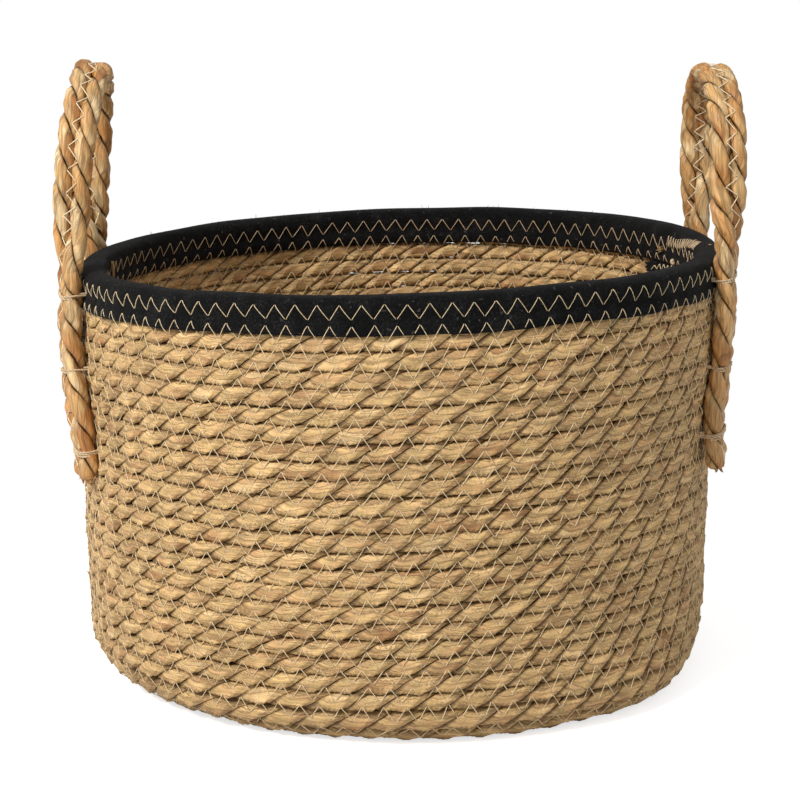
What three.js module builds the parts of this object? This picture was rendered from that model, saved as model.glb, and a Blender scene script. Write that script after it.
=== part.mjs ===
// A round storage basket of coiled seagrass rope, in millimetres, with +Z up and its foot on Z = 0.
// One rope is wound from the middle of the floor outwards, round the foot and up the wall to the rim.
// A cotton strip is folded over the last turns, and two arched handles of paired rope are lashed to
// the outside of the wall, each leg at three heights.
import * as THREE from "three";

// Basket, outside sizes
const outerRadius = 168;
const height = 221;
const footBend = 15.6; // radius of the rope's centre line where the floor turns up into the wall
const stepsPerTurn = 24; // the facets of every turn, and of the binding that is folded over them
const seamAzimuth = 165; // degrees from +X at which the coil's stretches meet and its rows are counted

// Coiled rope
const ropeRadius = 4.7;
const rowPitch = 8.8; // height of one row of the wall, and width of one row of the floor
const bendPitch = 9.8; // rows lie a little wider apart round the foot, where they tilt
const floorThickness = 9;
const floorGroove = 3; // depth of the groove between two rows of the floor
const taperEnd = 0.15; // what is left of the rope's thickness where it runs out at the rim

// Cotton binding
const bindingThickness = 2;
const bindingDepth = 18; // from the rim's top down to the strip's edges
const bindingRound = 5;
const bindingRoundSteps = 4;
const lapLength = 24; // where the strip's two ends overlap inside the rim
const lapThickness = 1.2;
const lapAzimuth = 7.5; // degrees

// Handles
const handleRopeRadius = 4.9;
const handleRopeGap = 0.4; // between a handle's two ropes
const handleSpread = 114; // between the middles of a handle's two legs
const handleRise = 98; // from the rim to the top of the arch
const handleTail = 107; // how far the cut ends hang below the rim
const archHeight = 50; // the rounded part of the arch
const archLean = 5; // how far the arch's top leans in over the basket
const turnStart = 6; // above the rim, where a pair starts to turn from flat on the wall
const turnLength = 36; // and the height in which it turns to lie one rope behind the other
const archStand = 2; // how far the legs stand out above the rim
const legReturn = 14; // below the binding, the height in which a leg comes back to the wall
const legSteps = 14;
const archSteps = 9;
const handleSides = 8;

// Lashings
const lashingDrops = { upper: 11, middle: 52, lower: 91 }; // below the rim
const lashingHeight = 4.5;
const lashingThickness = 1.3;
const lashingCornerSteps = 3;

const clearance = 0.3; // between pieces that touch

const turn = 2 * Math.PI;
const facet = turn / stepsPerTurn;
const flatShare = Math.cos(facet / 2); // a facet's middle against its corners
const flankShare = Math.cos(Math.PI / 6); // the six-sided rope's flat sides against its corners

// Materials
const seagrass = new THREE.MeshStandardMaterial({ color: 0xc9a76c, roughness: 0.8, metalness: 0 });
const goldenSeagrass = new THREE.MeshStandardMaterial({ color: 0xc88f4a, roughness: 0.75, metalness: 0 });
const blackCotton = new THREE.MeshStandardMaterial({ color: 0x17171a, roughness: 0.95, metalness: 0 });
const creamThread = new THREE.MeshStandardMaterial({ color: 0xe0cfa2, roughness: 0.7, metalness: 0 });

const basket = new THREE.Group();

function addMesh(name, geometry, material, parent = basket) {
  const mesh = new THREE.Mesh(geometry, material);
  mesh.name = name;
  parent.add(mesh);
  return mesh;
}

// Points and triangles become one closed geometry whose faces point out.
function closedGeometry(points, triangles) {
  let volume = 0;
  for (const [a, b, c] of triangles) {
    volume += points[a].dot(new THREE.Vector3().crossVectors(points[b], points[c]));
  }
  const index = triangles.flatMap(([a, b, c]) => (volume > 0 ? [a, b, c] : [a, c, b]));
  const geometry = new THREE.BufferGeometry().setFromPoints(points);
  geometry.setIndex(index);
  geometry.computeVertexNormals();
  return geometry;
}

// Rings of points, one after another along a rope, joined by its sides and closed by its two cut ends.
function ropeFromRings(rings) {
  const sides = rings[0].length;
  const points = rings.flat();
  const triangles = [];
  for (let i = 0; i + 1 < rings.length; i++) {
    for (let k = 0; k < sides; k++) {
      const a = i * sides + k;
      const b = i * sides + ((k + 1) % sides);
      triangles.push([a, b, b + sides], [a, b + sides, a + sides]);
    }
  }
  const last = (rings.length - 1) * sides;
  for (let k = 1; k + 1 < sides; k++) {
    triangles.push([0, k + 1, k], [last, last + k, last + k + 1]);
  }
  return closedGeometry(points, triangles);
}

// The coil's plan. The rope is counted in steps of one facet from the middle of the floor to the rim.
const wallCentre = outerRadius - ropeRadius;
const footRadius = wallCentre - footBend; // where the flat floor ends and the bend begins
const rimTop = height - bindingThickness - clearance; // top of the rope under the binding
const ropeFlank = ropeRadius * flankShare;
const bendTop = ropeRadius + footBend;
const fullTopCentre = rimTop - ropeFlank;

const toSteps = (turns) => Math.round(turns * stepsPerTurn);
const floorSteps = toSteps(footRadius / rowPitch - 0.5);
const bendSteps = toSteps((footBend * Math.PI) / 2 / bendPitch);
const riseSteps = toSteps((fullTopCentre - bendTop) / rowPitch);
const floorRow = footRadius / (floorSteps / stepsPerTurn + 0.5);
const wallRow = (fullTopCentre - bendTop) / (riseSteps / stepsPerTurn);
const taperStart = floorSteps + bendSteps + riseSteps;
const taperSteps = Math.floor((stepsPerTurn * (1 - taperEnd) * 2 * ropeFlank) / wallRow);
const lastStep = taperStart + taperSteps;
const rimStart = taperStart - stepsPerTurn; // the full turn and the tapered one lie in the binding

const seamStep = toSteps(seamAzimuth / 360);
const azimuthAt = (step) => (seamStep + step - taperStart) * facet;

// The rope's centre at a step, and the tilt of its flanks: 0 on the floor, a quarter turn on the wall.
function centreAt(step) {
  const past = step - floorSteps;
  if (past <= 0) {
    return { radius: footRadius + (past / stepsPerTurn) * floorRow, z: ropeRadius, tilt: 0 };
  }
  if (past <= bendSteps) {
    const tilt = ((past / bendSteps) * Math.PI) / 2;
    const radius = footRadius + footBend * Math.sin(tilt);
    return { radius, z: bendTop - footBend * Math.cos(tilt), tilt };
  }
  const z = bendTop + ((past - bendSteps) / stepsPerTurn) * wallRow;
  return { radius: wallCentre, z, tilt: Math.PI / 2 };
}

// The rope's six-sided section at a step, as points of radius and height. One corner points out of
// the basket, and flat sides face the neighbouring rows. In the last turn the underside keeps
// climbing while the top stays level, so the rope runs out in a wedge and the rim ends level.
function sectionAt(step) {
  const centre = centreAt(step);
  const past = Math.max(0, step - taperStart) / stepsPerTurn;
  const thickness = 1 - (past * wallRow) / (2 * ropeFlank);
  const width = (1 + thickness) / 2; // keeps the corners inside the binding's sloping shoulders
  const z = past > 0 ? rimTop - ropeFlank * thickness : centre.z;
  const out = new THREE.Vector2(Math.sin(centre.tilt), -Math.cos(centre.tilt));
  const along = new THREE.Vector2(Math.cos(centre.tilt), Math.sin(centre.tilt));
  const section = [];
  for (let k = 0; k < 6; k++) {
    const angle = (k * Math.PI) / 3;
    section.push(
      new THREE.Vector2(centre.radius, z)
        .addScaledVector(out, ropeRadius * width * Math.cos(angle))
        .addScaledVector(along, ropeRadius * thickness * Math.sin(angle)),
    );
  }
  return section;
}

function aroundAxis(point, azimuth) {
  return new THREE.Vector3(point.x * Math.cos(azimuth), point.x * Math.sin(azimuth), point.y);
}

// A stretch of the coil. Its first ring stands off the piece before it by the clearance.
function coilStretch(from, to) {
  const rings = [];
  for (let step = from; step <= to; step++) {
    const section = sectionAt(step);
    const standOff = step === from ? clearance / centreAt(step).radius : 0;
    rings.push(section.map((point) => aroundAxis(point, azimuthAt(step) + standOff)));
  }
  return ropeFromRings(rings);
}

// Least distance between the sections of neighbouring turns, which lie in one plane at each facet.
function leastGap(from, to) {
  const foot = new THREE.Vector2();
  const edge = new THREE.Vector2();
  let least = Infinity;
  for (let step = from; step + stepsPerTurn <= to; step++) {
    const lower = sectionAt(step);
    const upper = sectionAt(step + stepsPerTurn);
    for (const [points, outline] of [[lower, upper], [upper, lower]]) {
      for (const point of points) {
        for (let k = 0; k < 6; k++) {
          const a = outline[k];
          edge.subVectors(outline[(k + 1) % 6], a);
          const share = foot.subVectors(point, a).dot(edge) / edge.lengthSq();
          foot.copy(a).addScaledVector(edge, Math.min(1, Math.max(0, share)));
          least = Math.min(least, foot.distanceTo(point));
        }
      }
    }
  }
  return least;
}

// One face of the floor: spiral strips from groove to crown, over the crown and down to the next
// groove, the eye in the middle, and the cut end that stands beside it. Returns the groove's line and
// the outline of the face at the spiral's end.
function floorRows(points, triangles, crownZ, grooveZ, facesUp) {
  const crown = floorRow / 4; // half the width of a row's flat crown
  const put = (radius, z, step) =>
    points.push(aroundAxis(new THREE.Vector2(radius, z), azimuthAt(step))) - 1;
  const add = (a, b, c) => triangles.push(facesUp ? [a, b, c] : [a, c, b]);
  const groove = [];
  const crownIn = [];
  const crownOut = [];
  for (let step = 0; step <= floorSteps + stepsPerTurn; step++) {
    groove.push(put((step / stepsPerTurn) * floorRow, grooveZ, step));
  }
  for (let step = 0; step <= floorSteps; step++) {
    crownIn.push(put(centreAt(step).radius - crown, crownZ, step));
    crownOut.push(put(centreAt(step).radius + crown, crownZ, step));
  }
  const outlineAt = (step) => [groove[step], crownIn[step], crownOut[step], groove[step + stepsPerTurn]];
  for (let step = 0; step < floorSteps; step++) {
    const here = outlineAt(step);
    const next = outlineAt(step + 1);
    for (let k = 0; k < 3; k++) {
      add(here[k], here[k + 1], next[k + 1]);
      add(here[k], next[k + 1], next[k]);
    }
  }
  for (let step = 1; step < stepsPerTurn; step++) {
    add(groove[0], groove[step], groove[step + 1]);
  }
  add(groove[0], crownOut[0], crownIn[0]);
  add(groove[0], groove[stepsPerTurn], crownOut[0]);
  return { groove, end: outlineAt(floorSteps) };
}

// Floor: the rope's spiral rows as one plate, grooved between them on top and underneath. Its edge is
// the spiral's last row, so it ends in one step, and the wall's first turn starts there.
function floorCoil() {
  const points = [];
  const triangles = [];
  const quad = (a, b, c, d) => triangles.push([a, b, c], [a, c, d]);
  const top = floorRows(points, triangles, floorThickness, floorThickness - floorGroove, true);
  const under = floorRows(points, triangles, 0, floorGroove, false);
  for (let step = floorSteps; step < floorSteps + stepsPerTurn; step++) {
    quad(top.groove[step], under.groove[step], under.groove[step + 1], top.groove[step + 1]);
  }
  for (let k = 0; k < 3; k++) {
    quad(top.end[k], top.end[k + 1], under.end[k + 1], under.end[k]);
  }
  return closedGeometry(points, triangles);
}

addMesh("floor_coil", floorCoil(), seagrass);
addMesh("wall_coil", coilStretch(floorSteps, rimStart), seagrass);
addMesh("rim_coil", coilStretch(rimStart, lastStep), seagrass);
for (const [name, from, to] of [["wall_coil", floorSteps, rimStart], ["rim_coil", rimStart, lastStep]]) {
  const turns = ((to - from) / stepsPerTurn).toFixed(2);
  console.log(name + ": " + turns + " turns, least gap to itself " + leastGap(from, to).toFixed(2) + " mm");
}

// A profile of radius and height, turned about the basket's axis on the same facets as the coil.
function turned(profile, start = 0, sweep = turn, segments = stepsPerTurn) {
  const geometry = new THREE.LatheGeometry(profile, segments, start, sweep);
  geometry.rotateX(Math.PI / 2); // the lathe turns about Y
  return geometry;
}

// Binding: one strip folded over the rim, in a hollow that follows the rope's section
const bindingOuter = outerRadius + clearance + bindingThickness;
const rimInner = outerRadius - 2 * ropeRadius;
const bindingInner = rimInner - clearance - bindingThickness;
const bindingEdge = height - bindingDepth;

function bindingProfile() {
  const hollowTop = rimTop + clearance;
  const shoulder = fullTopCentre + clearance;
  const profile = [new THREE.Vector2(bindingOuter, bindingEdge)];
  const corner = (centreRadius, from) => {
    for (let k = 0; k <= bindingRoundSteps; k++) {
      const angle = from + ((k / bindingRoundSteps) * Math.PI) / 2;
      const radius = centreRadius + bindingRound * Math.cos(angle);
      profile.push(new THREE.Vector2(radius, height - bindingRound + bindingRound * Math.sin(angle)));
    }
  };
  corner(bindingOuter - bindingRound, 0);
  corner(bindingInner + bindingRound, Math.PI / 2);
  profile.push(
    new THREE.Vector2(bindingInner, bindingEdge),
    new THREE.Vector2(rimInner - clearance, bindingEdge),
    new THREE.Vector2(rimInner - clearance, shoulder),
    new THREE.Vector2(wallCentre - ropeRadius / 2 - clearance, hollowTop),
    new THREE.Vector2(wallCentre + ropeRadius / 2 + clearance, hollowTop),
    new THREE.Vector2(outerRadius + clearance, shoulder),
    new THREE.Vector2(outerRadius + clearance, bindingEdge),
  );
  return profile.concat(profile[0].clone());
}

addMesh("rim_binding", turned(bindingProfile()), blackCotton);

// Where the strip's ends meet inside the rim, one lies flat over the other on one facet.
const lapShape = new THREE.Shape();
const lapHeight = bindingDepth - bindingRound;
lapShape.moveTo(-lapLength / 2, 0);
lapShape.lineTo(lapLength / 2, 0);
lapShape.lineTo(lapLength / 2, lapHeight);
lapShape.lineTo(-lapLength / 2, lapHeight);
const lap = addMesh(
  "binding_lap",
  new THREE.ExtrudeGeometry(lapShape, { depth: lapThickness, bevelEnabled: false }),
  blackCotton,
);
const lapHolder = new THREE.Group();
lapHolder.rotation.z = THREE.MathUtils.degToRad(lapAzimuth) - Math.PI / 2;
lap.rotation.x = Math.PI / 2;
lap.position.set(0, bindingInner * flatShare - clearance, bindingEdge);
lapHolder.add(lap);
basket.add(lapHolder);

// Handles. Each leg lies flat on one facet of the wall: the facet gives its direction, and the
// handle's spread gives its place along the facet.
const legFacet = Math.floor(Math.asin(handleSpread / 2 / outerRadius) / facet);
const legDirection = (legFacet + 0.5) * facet;
const ropeSpacing = 2 * handleRopeRadius + handleRopeGap;
const legOffset = (surface) => {
  const stand = surface * flatShare + clearance + handleRopeRadius;
  const along = (handleSpread / 2 - stand * Math.sin(legDirection)) / Math.cos(legDirection);
  return { stand, along };
};
const legX = (surface) => {
  const { stand, along } = legOffset(surface);
  return stand * Math.cos(legDirection) - along * Math.sin(legDirection);
};
const wallX = legX(outerRadius);
const rimX = legX(bindingOuter);

// Middle of the pair and the direction from the outer rope to the inner one, for the leg at +Y of
// the handle at +X, from its cut end to the top of the arch
function handleStations() {
  const stations = [];
  const halfSpread = handleSpread / 2;
  const archFoot = height + handleRise - archHeight;
  const archTop = height + handleRise - handleRopeRadius;
  const flat = new THREE.Vector3(-Math.sin(legDirection), Math.cos(legDirection), 0);
  const legBottom = height - handleTail;
  const push = (x, y, z, across) => {
    const inner = flat.clone().lerp(new THREE.Vector3(-1, 0, 0), across).normalize();
    stations.push({ middle: new THREE.Vector3(x, y, z), inner });
  };
  const { lerp, smoothstep } = THREE.MathUtils;
  for (let k = 0; k <= legSteps; k++) {
    const z = lerp(legBottom, archFoot, k / legSteps);
    const onBinding = smoothstep(z, bindingEdge - legReturn, bindingEdge - bindingThickness);
    const above = smoothstep(z, height, height + turnStart + turnLength);
    const across = smoothstep(z, height + turnStart, height + turnStart + turnLength);
    push(lerp(wallX, rimX, onBinding) + archStand * above, halfSpread, z, across);
  }
  for (let k = 1; k <= archSteps; k++) {
    const angle = ((k / archSteps) * Math.PI) / 2;
    const z = archFoot + (archTop - archFoot) * Math.sin(angle);
    const x = rimX + archStand - archLean * Math.sin(angle) ** 2;
    push(x, halfSpread * Math.cos(angle), z, 1);
  }
  return stations;
}

// One of a handle's two ropes: side is +1 for the inner rope and -1 for the outer one.
function handleRope(side) {
  const half = handleStations().map(({ middle, inner }) =>
    middle.clone().addScaledVector(inner, (side * ropeSpacing) / 2),
  );
  const mirrored = half.slice(0, -1).map((point) => new THREE.Vector3(point.x, -point.y, point.z));
  const route = new THREE.CatmullRomCurve3([...half, ...mirrored.reverse()], false, "centripetal");
  const section = new THREE.Shape();
  section.absarc(0, 0, handleRopeRadius, 0, turn);
  const steps = 2 * (legSteps + archSteps);
  return new THREE.ExtrudeGeometry(section, {
    steps,
    extrudePath: route,
    curveSegments: handleSides / 2,
  });
}

// A lashing's outline over a pair of ropes, seen from above: X out of the wall, Y along the facet
function lashingShape(stand, along) {
  const shape = new THREE.Shape();
  const half = ropeSpacing / 2;
  const inner = handleRopeRadius + clearance;
  const outer = inner + lashingThickness;
  shape.moveTo(clearance, along - half - outer);
  shape.lineTo(stand, along - half - outer);
  shape.absarc(stand, along - half, outer, -Math.PI / 2, 0);
  shape.absarc(stand, along + half, outer, 0, Math.PI / 2);
  shape.lineTo(clearance, along + half + outer);
  shape.lineTo(clearance, along + half + inner);
  shape.lineTo(stand, along + half + inner);
  shape.absarc(stand, along + half, inner, Math.PI / 2, 0, true);
  shape.absarc(stand, along - half, inner, 0, -Math.PI / 2, true);
  shape.lineTo(clearance, along - half - inner);
  return shape;
}

for (const [sideName, side] of [["right", 1], ["left", -1]]) {
  const handle = new THREE.Group();
  handle.rotation.z = side > 0 ? 0 : Math.PI;
  basket.add(handle);
  addMesh(sideName + "_handle_outer_rope", handleRope(-1), goldenSeagrass, handle);
  addMesh(sideName + "_handle_inner_rope", handleRope(1), goldenSeagrass, handle);
  for (const [legName, leg] of [["front", -side], ["back", side]]) {
    for (const [dropName, drop] of Object.entries(lashingDrops)) {
      const z = height - drop;
      const surface = z + lashingHeight / 2 > bindingEdge ? bindingOuter : outerRadius;
      const { stand, along } = legOffset(surface);
      const flat = surface * flatShare;
      const geometry = new THREE.ExtrudeGeometry(lashingShape(stand - flat, leg * along), {
        depth: lashingHeight,
        bevelEnabled: false,
        curveSegments: lashingCornerSteps,
      });
      const facing = new THREE.Group();
      facing.rotation.z = leg * legDirection;
      handle.add(facing);
      const name = [sideName, legName, dropName, "lashing"].join("_");
      const lashing = addMesh(name, geometry, creamThread, facing);
      lashing.position.set(flat, 0, z - lashingHeight / 2);
    }
  }
}

export default basket;
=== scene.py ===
# %% [markdown]
# # A coiled seagrass basket
# The basket is one long rope of twisted grass, wound in rows and sewn row to row with a zigzag seam.
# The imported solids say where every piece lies. This lesson dresses them: twisted rope in place of
# plain tubes, threads that follow the rope's surface, a felted strip over the rim, and the finishes.

# %% Load the frame
import math

import bmesh
import bpy
import numpy as np
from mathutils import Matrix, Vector
from mathutils.bvhtree import BVHTree


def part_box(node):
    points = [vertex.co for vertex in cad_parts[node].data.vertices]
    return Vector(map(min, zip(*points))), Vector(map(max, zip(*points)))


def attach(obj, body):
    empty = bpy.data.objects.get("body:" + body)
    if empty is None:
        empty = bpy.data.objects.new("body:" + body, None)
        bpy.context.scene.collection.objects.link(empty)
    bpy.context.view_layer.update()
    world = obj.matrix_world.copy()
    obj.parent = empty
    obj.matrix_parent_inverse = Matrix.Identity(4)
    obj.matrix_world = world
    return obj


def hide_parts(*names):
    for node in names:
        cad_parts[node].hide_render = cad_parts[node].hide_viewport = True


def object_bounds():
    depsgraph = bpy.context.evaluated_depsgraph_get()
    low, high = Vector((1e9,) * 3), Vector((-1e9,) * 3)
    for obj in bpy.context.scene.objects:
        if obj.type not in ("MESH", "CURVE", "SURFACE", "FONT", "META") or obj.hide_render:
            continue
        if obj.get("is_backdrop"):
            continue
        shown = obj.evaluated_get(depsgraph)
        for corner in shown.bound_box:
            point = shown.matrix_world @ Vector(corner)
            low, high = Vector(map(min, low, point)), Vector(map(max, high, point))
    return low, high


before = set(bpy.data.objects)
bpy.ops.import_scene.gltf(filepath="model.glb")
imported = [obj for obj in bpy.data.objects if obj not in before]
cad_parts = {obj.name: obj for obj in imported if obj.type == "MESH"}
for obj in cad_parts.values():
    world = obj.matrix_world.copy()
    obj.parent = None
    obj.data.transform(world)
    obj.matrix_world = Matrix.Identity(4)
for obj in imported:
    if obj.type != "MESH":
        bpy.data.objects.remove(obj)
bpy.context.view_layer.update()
mm = 0.001  # a millimetre, in the metres of the scene
up = np.array([0.0, 0.0, 1.0])

# %% [markdown]
# ## Sizes
# What the solids already know is read from them: the wall's radius, the binding's top and lower
# edge, and how far the handles reach. The rope's own sizes are driving values of this lesson.

# %% Sizes from the solids
wall_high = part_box("wall_coil")[1]
binding_low, binding_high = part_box("rim_binding")
handle_low, handle_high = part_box("right_handle_outer_rope")
outer_radius = wall_high.x
rim_height = binding_high.z
binding_outer = binding_high.x
binding_edge = binding_low.z
handle_top = handle_high.z
handle_end = handle_low.z

rope_radius = 4.7 * mm
row_pitch = 8.8 * mm
foot_bend = 15.6 * mm
wall_centre = outer_radius - rope_radius
foot_radius = wall_centre - foot_bend
bend_top = rope_radius + foot_bend
seam_azimuth = math.radians(165)
print(f"wall radius {outer_radius:.4f} m, rim {rim_height:.4f} m, handles to {handle_top:.4f} m")

# %% [markdown]
# ## The camera
# The photograph looks down on the basket by about twelve degrees. A long lens at 1.2 metres fits the
# ellipse of the rim and the way the wall narrows towards the foot.

# %% Camera
def into_scene(name, data):
    """A new object with this data, linked into the scene."""
    thing = bpy.data.objects.new(name, data)
    bpy.context.scene.collection.objects.link(thing)
    return thing


look_down = 0.2101  # radians below level
camera_data = bpy.data.cameras.new("camera")
camera_data.lens = 98.2
camera_data.sensor_width = 36
camera = into_scene("camera", camera_data)
camera.location = (0, -1.160, 0.384)
camera.rotation_euler = (math.pi / 2 - look_down, 0, 0)
bpy.context.scene.camera = camera

# %% [markdown]
# ## The coil's route
# One rope runs from the middle of the floor, round the foot and up the wall. Its place is a formula
# of the turns that it has made: a flat spiral, a quarter of a bend, then a helix. Two directions go
# with each place: `out` of the basket's skin, and `along` the skin, towards the next row.

# %% The route as a formula of turns
floor_turns = foot_radius / row_pitch - 0.5
bend_turns = 2.5
top_centre = rim_height - 6.4 * mm
rise_turns = (top_centre - bend_top) / row_pitch
full_turns = floor_turns + bend_turns + rise_turns
taper_turns = 0.75  # past the full turns the real rope runs out, hidden by the strip
first_turn = -0.42  # the rope's start is tucked into the middle


def level_way(azimuth):
    """The level direction out from the basket's axis."""
    return np.stack([np.cos(azimuth), np.sin(azimuth), 0 * azimuth], -1)


def unit(vectors):
    return vectors / np.linalg.norm(vectors, axis=-1, keepdims=True)


def lengths_along(places):
    """How far along a line each of its places lies."""
    return np.r_[0, np.cumsum(np.linalg.norm(np.diff(places, axis=0), axis=1))]


def read_off(values, lengths, rows):
    """Places or directions that belong to lengths, read off at other lengths."""
    return np.stack([np.interp(values, lengths, rows[:, k]) for k in range(3)], -1)


def coil_route(turns):
    """Places, `out` and `along` directions of the rope's centre line, as arrays."""
    turns = np.asarray(turns, float)
    on_bend = np.clip((turns - floor_turns) / bend_turns, 0, 1)
    tilt = on_bend * math.pi / 2
    radius = foot_radius + np.minimum(turns - floor_turns, 0) * row_pitch + foot_bend * np.sin(tilt)
    rise = np.maximum(turns - floor_turns - bend_turns, 0) * row_pitch
    height = bend_top - foot_bend * np.cos(tilt) + rise
    around = level_way(seam_azimuth + (turns - full_turns) * 2 * math.pi)
    place = around * radius[..., None] + up * height[..., None]
    out = around * np.sin(tilt)[..., None] - up * np.cos(tilt)[..., None]
    along = around * np.cos(tilt)[..., None] + up * np.sin(tilt)[..., None]
    return place, out, along


fine_turns = np.linspace(first_turn, full_turns + taper_turns, 40001)
fine_lengths = lengths_along(coil_route(fine_turns)[0])
rope_length = fine_lengths[-1]
print(f"rope: {full_turns:.1f} turns, {rope_length:.1f} m long")


def turns_at(length):
    return np.interp(length, fine_lengths, fine_turns)


def length_at(turns):
    return float(np.interp(turns, fine_turns, fine_lengths))


# %% [markdown]
# ## Irregularity
# Grass is never even. A rope swells and thins, its rows wander a little, and the whole basket leans.
# `wander` gives a smooth random function of a length, always the same one for the same seed.

# %% Smooth random functions and the basket's lean
def wander(seed, spacing, reach):
    """A smooth function of a length, between -1 and 1, with a new value at every spacing."""
    knots = np.random.default_rng(seed).uniform(-1, 1, int(reach / spacing) + 4)

    def value(length):
        place = np.clip(np.asarray(length, float) / spacing, 0, len(knots) - 2.001)
        first = place.astype(int)
        share = place - first
        share = share * share * (3 - 2 * share)
        return knots[first] * (1 - share) + knots[first + 1] * share

    return value


def smooth_share(value, low, high):
    """How far a value is on its way from low to high, as a share that starts and ends gently."""
    share = np.clip((value - low) / (high - low), 0, 1)
    return share * share * (3 - 2 * share)


def off_table(table, value):
    """Millimetres read off a table, and between its entries."""
    return np.interp(value, list(table), list(table.values())) * mm


lean_azimuth = math.radians(10)
lean_slope = 0.02
foot_slide = 2.1 * mm
slide_height = 0.09  # the wall has slid by all of that up to here, and by less and less above
shoulder_swell = 2.2 * mm
shoulder_heights = (0.125, 0.172, 0.192, 0.21)  # where the swell starts, is full, fades and is gone
foot_height = 0.03
floor_end, wall_start = 0.12, 0.165  # radii between which a swell sets in
# Heights of the rim above level, by azimuth in degrees: it sags at the handles
rim_sag = {-180: -1.4, -158: -2.4, -140: -1.0, -118: 0.6, -90: 1.3, -62: 0.9, -42: -0.6, -20: -2.4,
           -2: -1.6, 20: -0.6, 42: 0.0, 70: -0.4, 100: -0.8, 135: -1.4, 160: -1.8, 180: -1.4}
# How far the foot stands out, by azimuth: it bulges at the front right, and tucks in below the handles
foot_out = {-180: -1.5, -160: -2.6, -140: -1.2, -115: 0.0, -80: 0.6, -64: 2.2, -52: 4.6, -42: 6.2,
            -33: 4.5, -24: 0.6, -12: -2.4, 6: -2.2, 30: -1.0, 90: 0.0, 180: -1.5}


def lean(points):
    """How the basket has set: its rim leans and sags, its wall bulges, and its foot has slid left."""
    points = np.array(points, float)
    x, y, height = points[..., 0], points[..., 1], points[..., 2].copy()
    azimuth = np.degrees(np.arctan2(y, x))
    radius = np.hypot(x, y)
    side = x * math.cos(lean_azimuth) + y * math.sin(lean_azimuth)
    above = np.clip((handle_top - height) / (handle_top - rim_height), 0, 1)
    below_rim = height < rim_height
    reach = np.where(below_rim, height, rim_height * above)
    points[..., 2] += lean_slope * reach * side / outer_radius
    points[..., 2] += off_table(rim_sag, azimuth) * np.where(below_rim, (height / rim_height) ** 2, above)
    starts, full, fades, gone = shoulder_heights
    shoulder = shoulder_swell * smooth_share(height, starts, full) * (1 - smooth_share(height, fades, gone))
    foot = off_table(foot_out, azimuth) * np.exp(-((height / foot_height) ** 2))
    swell = (foot + shoulder) * smooth_share(radius, floor_end, wall_start)
    points[..., :2] *= (1 + swell / np.maximum(radius, 0.01))[..., None]
    points[..., 0] -= foot_slide * (1 - smooth_share(height, slide_height, rim_height))
    return points


# %% [markdown]
# ## Finishes
# Seagrass is a flat leaf, twisted while damp. Close to, a strand is a few leaves lying side by side,
# each with its own tint, fine streaks along it and a dark line at its edge. All of that is drawn in
# the strand's own straightened space, which the ropes below store as the attribute `fibre`, so that
# the streaks follow the twist. The group puts out tints, lines and a height, and each material colours
# them with its own palette.

# %% Node helpers
def set_inputs(node, values):
    for socket, value in values.items():
        node.inputs[socket].default_value = value


def add_node(tree, kind, values=None, **settings):
    node = tree.nodes.new(kind)
    for name, value in settings.items():
        setattr(node, name, value)
    set_inputs(node, values or {})
    return node


def feed(tree, socket, value):
    """Set a socket to a number or a colour, or link it to another node's output."""
    if isinstance(value, (int, float)):
        socket.default_value = value
    elif isinstance(value, tuple):
        socket.default_value = (*value, 1)
    else:
        tree.links.new(value, socket)


def math_node(tree, operation, *values):
    node = add_node(tree, "ShaderNodeMath", operation=operation)
    for socket, value in zip(node.inputs, values):
        feed(tree, socket, value)
    return node.outputs[0]


def weighted_sum(tree, *terms):
    """The sum of (value, weight) pairs."""
    total = None
    for value, weight in terms:
        term = math_node(tree, "MULTIPLY", value, weight)
        total = term if total is None else math_node(tree, "ADD", total, term)
    return total


def range_node(tree, value, low, high, to_low=0.0, to_high=1.0):
    """A value that runs from low to high, made to run between two others."""
    values = {"From Min": low, "From Max": high, "To Min": to_low, "To Max": to_high}
    node = add_node(tree, "ShaderNodeMapRange", values)
    tree.links.new(value, node.inputs["Value"])
    return node.outputs[0]


def ramp_node(tree, factor, stops):
    node = add_node(tree, "ShaderNodeValToRGB")
    ramp = node.color_ramp
    while len(ramp.elements) < len(stops):
        ramp.elements.new(0.5)
    for element, (position, colour) in zip(ramp.elements, stops):
        element.position = position
        element.color = (*colour, 1)
    tree.links.new(factor, node.inputs["Fac"])
    return node.outputs["Color"]


def mix_colours(tree, factor, first, second, blend="MIX"):
    node = add_node(tree, "ShaderNodeMix", data_type="RGBA", blend_type=blend)
    for index, value in ((0, factor), (6, first), (7, second)):
        feed(tree, node.inputs[index], value)
    return node.outputs[2]


def mix_shaders(tree, factor, first, second):
    node = add_node(tree, "ShaderNodeMixShader")
    for socket, value in zip(node.inputs, (factor, first, second)):
        tree.links.new(value, socket)
    return node.outputs[0]


def noise_node(tree, vector, scale, detail=2.0, roughness=0.5):
    values = {"Scale": scale, "Detail": detail, "Roughness": roughness}
    node = add_node(tree, "ShaderNodeTexNoise", values)
    tree.links.new(vector, node.inputs["Vector"])
    return node.outputs["Fac"]


def new_material(name, values):
    """A material, with its tree and its shader."""
    material = bpy.data.materials.new(name)
    material.use_nodes = True
    shader = material.node_tree.nodes["Principled BSDF"]
    set_inputs(shader, values)
    return material, material.node_tree, shader


def raise_surface(tree, shader, height, strength, distance):
    bump = add_node(tree, "ShaderNodeBump", {"Strength": strength, "Distance": distance})
    tree.links.new(height, bump.inputs["Height"])
    tree.links.new(bump.outputs["Normal"], shader.inputs["Normal"])


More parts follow.
